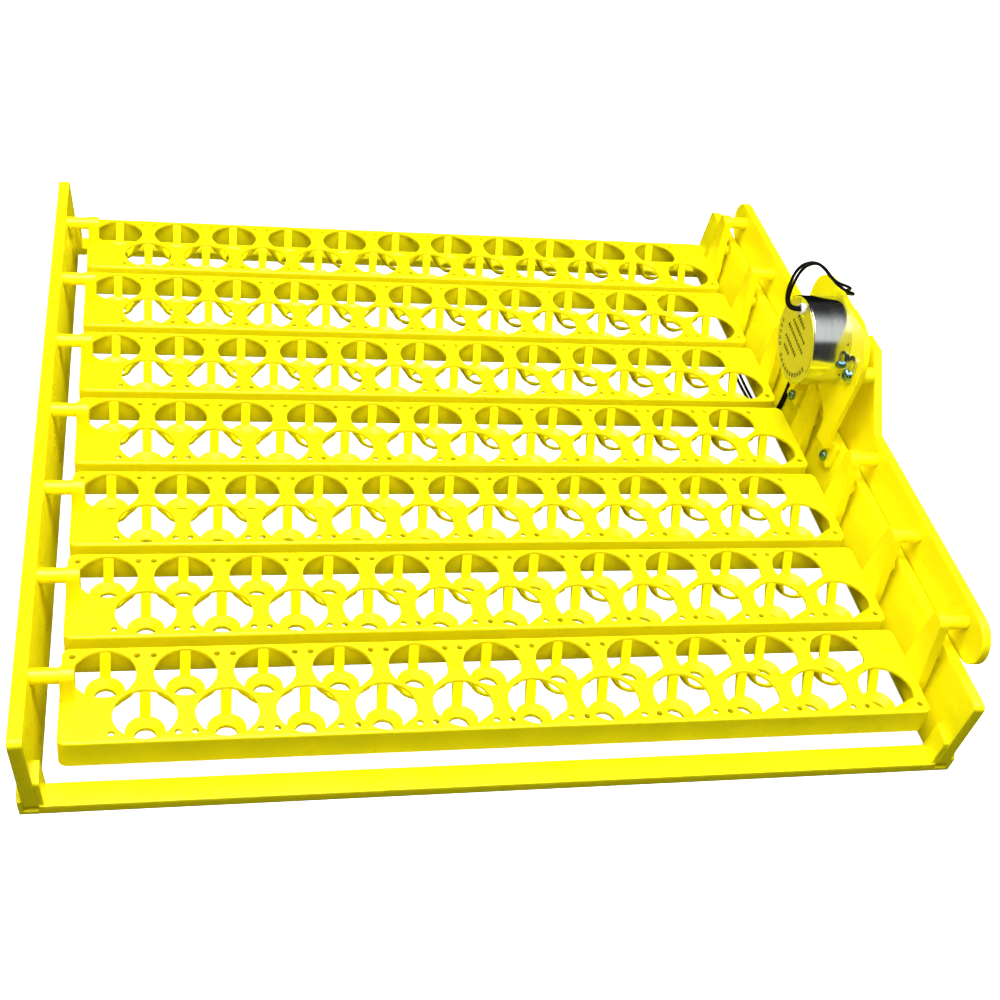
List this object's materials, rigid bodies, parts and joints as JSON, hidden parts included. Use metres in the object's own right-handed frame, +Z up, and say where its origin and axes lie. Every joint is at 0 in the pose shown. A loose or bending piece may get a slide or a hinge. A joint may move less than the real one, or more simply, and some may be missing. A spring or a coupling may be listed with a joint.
{
  "type": "automatic egg turner",
  "caption": "Motor-driven egg turner: a clip-together frame with rows of tilting racks of egg cups, linked by a slotted bar that a geared motor's crank rocks.",
  "frame": {"origin": "bottom centre of the turner, on the surface that it stands on", "axes": "+X to the right along the racks, towards the motor and the drive bar; +Y from front to back across the racks; +Z up"},
  "size_m": [0.4562, 0.456, 0.1505],
  "materials": {
    "rack_plastic": "glossy bright yellow moulded plastic",
    "frame_plastic": "glossy bright yellow moulded plastic",
    "crank_plastic": "glossy yellow moulded plastic",
    "motor_steel": "bright drawn steel",
    "label_foil": "satin pale gold foil",
    "zinc_screw": "zinc plated, bluish",
    "grommet_plastic": "white moulded plastic",
    "nylon": "natural nylon",
    "copper_winding": "enamelled copper wire",
    "ferrite": "dark ferrite",
    "shaft_steel": "ground steel",
    "lead_insulation": "black flexible insulation",
    "tinned_wire": "tinned copper strands"
  },
  "bodies": {
    "frame": {"left_side_plate": "frame_plastic", "right_side_plate": "frame_plastic", "front_beam": "frame_plastic", "rear_beam": "frame_plastic", "motor_bracket": "frame_plastic", "bracket_screws": "zinc_screw", "ear_screws": "zinc_screw", "motor_can": "motor_steel", "motor_end_plate": "motor_steel", "motor_label": "label_foil", "lead_grommet": "grommet_plastic", "coil_bobbin": "nylon", "stator_coil": "copper_winding", "rotor_magnet": "ferrite", "rotor_spindle": "shaft_steel", "gear_plate": "motor_steel", "reduction_gears": "nylon", "gear_posts": "shaft_steel", "front_lead": "lead_insulation", "rear_lead": "lead_insulation", "front_lead_tip": "tinned_wire", "rear_lead_tip": "tinned_wire"},
    "rack_1": {"egg_rack_1": "rack_plastic"},
    "rack_2": {"egg_rack_2": "rack_plastic"},
    "rack_3": {"egg_rack_3": "rack_plastic"},
    "rack_4": {"egg_rack_4": "rack_plastic"},
    "rack_5": {"egg_rack_5": "rack_plastic"},
    "rack_6": {"egg_rack_6": "rack_plastic"},
    "rack_7": {"egg_rack_7": "rack_plastic"},
    "drive_bar": {"drive_bar": "frame_plastic"},
    "crank": {"crank_disc": "crank_plastic", "crank_pin": "shaft_steel", "crank_screw": "zinc_screw", "output_shaft": "shaft_steel", "output_gear": "nylon"}
  },
  "joints": [
    {"name": "rack_1_tilt", "type": "hinge", "parent": "frame", "child": "rack_1", "pos_m": [0, -0.186, 0.042], "axis": [1, 0, 0], "range_deg": [-45, 45]},
    {"name": "rack_2_tilt", "type": "hinge", "parent": "frame", "child": "rack_2", "pos_m": [0, -0.124, 0.042], "axis": [1, 0, 0], "range_deg": [-45, 45]},
    {"name": "rack_3_tilt", "type": "hinge", "parent": "frame", "child": "rack_3", "pos_m": [0, -0.062, 0.042], "axis": [1, 0, 0], "range_deg": [-45, 45]},
    {"name": "rack_4_tilt", "type": "hinge", "parent": "frame", "child": "rack_4", "pos_m": [0, 0, 0.042], "axis": [1, 0, 0], "range_deg": [-45, 45]},
    {"name": "rack_5_tilt", "type": "hinge", "parent": "frame", "child": "rack_5", "pos_m": [0, 0.062, 0.042], "axis": [1, 0, 0], "range_deg": [-45, 45]},
    {"name": "rack_6_tilt", "type": "hinge", "parent": "frame", "child": "rack_6", "pos_m": [0, 0.124, 0.042], "axis": [1, 0, 0], "range_deg": [-45, 45]},
    {"name": "rack_7_tilt", "type": "hinge", "parent": "frame", "child": "rack_7", "pos_m": [0, 0.186, 0.042], "axis": [1, 0, 0], "range_deg": [-45, 45]},
    {"name": "bar_swing", "type": "hinge", "parent": "rack_1", "child": "drive_bar", "pos_m": [0.2257, -0.186, 0.0635], "axis": [1, 0, 0], "range_deg": [-45, 45]},
    {"name": "crank_turn", "type": "hinge", "parent": "frame", "child": "crank", "pos_m": [0.2142, 0, 0.0905], "axis": [1, 0, 0], "range_deg": [-90, 90]}
  ],
  "couplings": [
    {"joint": "rack_2_tilt", "follows": "rack_1_tilt", "ratio": 1},
    {"joint": "rack_3_tilt", "follows": "rack_1_tilt", "ratio": 1},
    {"joint": "rack_4_tilt", "follows": "rack_1_tilt", "ratio": 1},
    {"joint": "rack_5_tilt", "follows": "rack_1_tilt", "ratio": 1},
    {"joint": "rack_6_tilt", "follows": "rack_1_tilt", "ratio": 1},
    {"joint": "rack_7_tilt", "follows": "rack_1_tilt", "ratio": 1},
    {"joint": "bar_swing", "follows": "rack_1_tilt", "ratio": -1},
    {"joint": "crank_turn", "follows": "rack_1_tilt", "ratio": -2}
  ]
}
